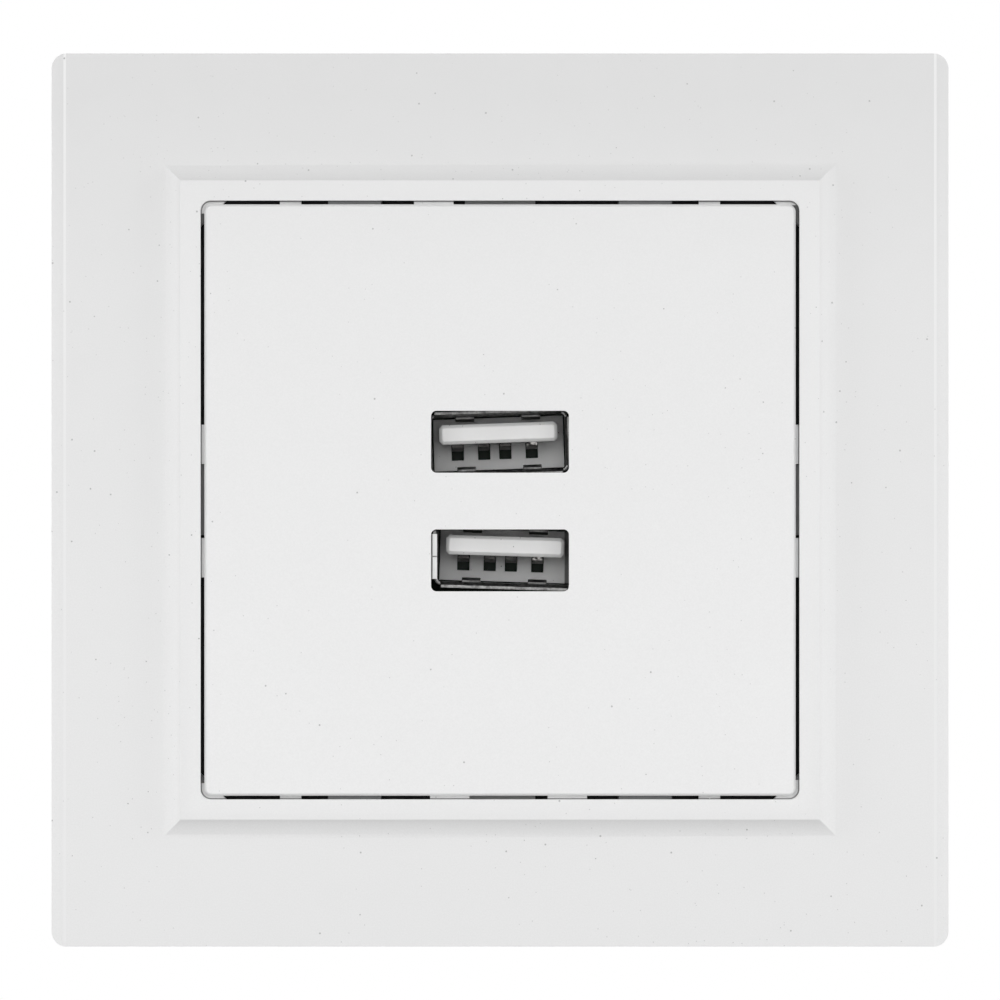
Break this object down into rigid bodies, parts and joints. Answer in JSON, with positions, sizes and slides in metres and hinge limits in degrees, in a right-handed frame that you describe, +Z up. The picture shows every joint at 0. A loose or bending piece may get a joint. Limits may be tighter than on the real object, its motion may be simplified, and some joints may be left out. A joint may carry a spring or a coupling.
{
  "type": "usb wall socket",
  "caption": "Square white flush-mounted wall socket: coved cover frame, clip-on centre plate with stacked charging ports, steel support frame, charger body and wall-box claws.",
  "frame": {"origin": "centre of the socket on the wall plane, midway between the two wall-screw slots", "axes": "+Z up, +X to the viewer's right, the front faces -Y and +Y goes into the wall"},
  "size_m": [0.084, 0.0416, 0.0836],
  "materials": {
    "frame_white": "satin moulded plastic with a fine texture",
    "plate_white": "satin moulded plastic with a fine texture",
    "zinc_steel": "zinc-plated sheet steel",
    "tinned_steel": "tinned thin sheet steel",
    "insulator_white": "satin moulded plastic",
    "contact_metal": "nickel-plated spring alloy",
    "body_grey": "satin moulded plastic",
    "screw_steel": "zinc-plated steel",
    "claw_steel": "zinc-plated pressed steel",
    "board_green": "solder-masked glass laminate",
    "ferrite": "fired ferrite",
    "bobbin_black": "moulded plastic",
    "winding_tape": "polyester tape over copper wire",
    "can_sleeve": "shrunk sleeve on an aluminium can",
    "film_blue": "moulded box",
    "drum_black": "shrunk sleeve on a ferrite drum",
    "fuse_coat": "dipped coating",
    "chip_black": "moulded epoxy",
    "link_black": "moulded plastic",
    "pin_tin": "tinned brass",
    "block_grey": "moulded plastic"
  },
  "bodies": {
    "socket": {"cover_frame": "frame_white", "centre_plate": "plate_white", "support_frame": "zinc_steel", "upper_usb_shell": "tinned_steel", "lower_usb_shell": "tinned_steel", "upper_usb_insulator": "insulator_white", "lower_usb_insulator": "insulator_white", "upper_usb_contacts": "contact_metal", "lower_usb_contacts": "contact_metal", "housing": "body_grey", "rear_cover": "body_grey", "housing_screws": "screw_steel", "usb_board": "board_green", "main_board": "board_green", "transformer_core": "ferrite", "transformer_bobbin": "bobbin_black", "transformer_winding": "winding_tape", "input_capacitor": "can_sleeve", "output_capacitor": "can_sleeve", "suppression_capacitor": "film_blue", "choke": "drum_black", "fuse": "fuse_coat", "rectifier": "chip_black", "switcher_chip": "chip_black", "port_chip": "chip_black", "link_strip": "link_black", "link_pins": "pin_tin", "terminal_block": "block_grey", "terminal_bars": "pin_tin"},
    "left_claw": {"left_claw": "claw_steel"},
    "left_claw_nut": {"left_claw_nut": "screw_steel"},
    "left_claw_screw": {"left_claw_screw": "screw_steel"},
    "left_terminal_screw": {"left_terminal_screw": "screw_steel"},
    "left_terminal_clamp": {"left_terminal_clamp": "screw_steel"},
    "right_claw": {"right_claw": "claw_steel"},
    "right_claw_nut": {"right_claw_nut": "screw_steel"},
    "right_claw_screw": {"right_claw_screw": "screw_steel"},
    "right_terminal_screw": {"right_terminal_screw": "screw_steel"},
    "right_terminal_clamp": {"right_terminal_clamp": "screw_steel"}
  },
  "joints": [
    {"name": "left_claw_screw_turn", "type": "hinge", "parent": "socket", "child": "left_claw_screw", "pos_m": [-0.0225, 0, 0], "axis": [0, 1, 0], "range_deg": [0, 4320]},
    {"name": "left_claw_nut_slide", "type": "slide", "parent": "socket", "child": "left_claw_nut", "axis": [0, -1, 0], "range_m": [0, 0.006]},
    {"name": "left_claw_swing", "type": "hinge", "parent": "left_claw_nut", "child": "left_claw", "pos_m": [-0.0225, 0.0266, 0], "axis": [0, 0, -1], "range_deg": [0, 15]},
    {"name": "left_terminal_screw_turn", "type": "hinge", "parent": "socket", "child": "left_terminal_screw", "pos_m": [-0.004, 0.0277, 0], "axis": [0, 0, -1], "range_deg": [0, 1760]},
    {"name": "left_terminal_clamp_slide", "type": "slide", "parent": "socket", "child": "left_terminal_clamp", "axis": [0, 0, 1], "range_m": [0, 0.0022]},
    {"name": "right_claw_screw_turn", "type": "hinge", "parent": "socket", "child": "right_claw_screw", "pos_m": [0.0225, 0, 0], "axis": [0, 1, 0], "range_deg": [0, 4320]},
    {"name": "right_claw_nut_slide", "type": "slide", "parent": "socket", "child": "right_claw_nut", "axis": [0, -1, 0], "range_m": [0, 0.006]},
    {"name": "right_claw_swing", "type": "hinge", "parent": "right_claw_nut", "child": "right_claw", "pos_m": [0.0225, 0.0266, 0], "axis": [0, 0, 1], "range_deg": [0, 15]},
    {"name": "right_terminal_screw_turn", "type": "hinge", "parent": "socket", "child": "right_terminal_screw", "pos_m": [0.004, 0.0277, 0], "axis": [0, 0, -1], "range_deg": [0, 1760]},
    {"name": "right_terminal_clamp_slide", "type": "slide", "parent": "socket", "child": "right_terminal_clamp", "axis": [0, 0, 1], "range_m": [0, 0.0022]}
  ],
  "couplings": [
    {"joint": "left_claw_screw_turn", "follows": "left_claw_nut_slide", "rad_per_m": 12566},
    {"joint": "left_claw_swing", "follows": "left_claw_nut_slide", "rad_per_m": 43.633},
    {"joint": "left_terminal_screw_turn", "follows": "left_terminal_clamp_slide", "rad_per_m": 13963},
    {"joint": "right_claw_screw_turn", "follows": "right_claw_nut_slide", "rad_per_m": 12566},
    {"joint": "right_claw_swing", "follows": "right_claw_nut_slide", "rad_per_m": 43.633},
    {"joint": "right_terminal_screw_turn", "follows": "right_terminal_clamp_slide", "rad_per_m": 13963}
  ]
}
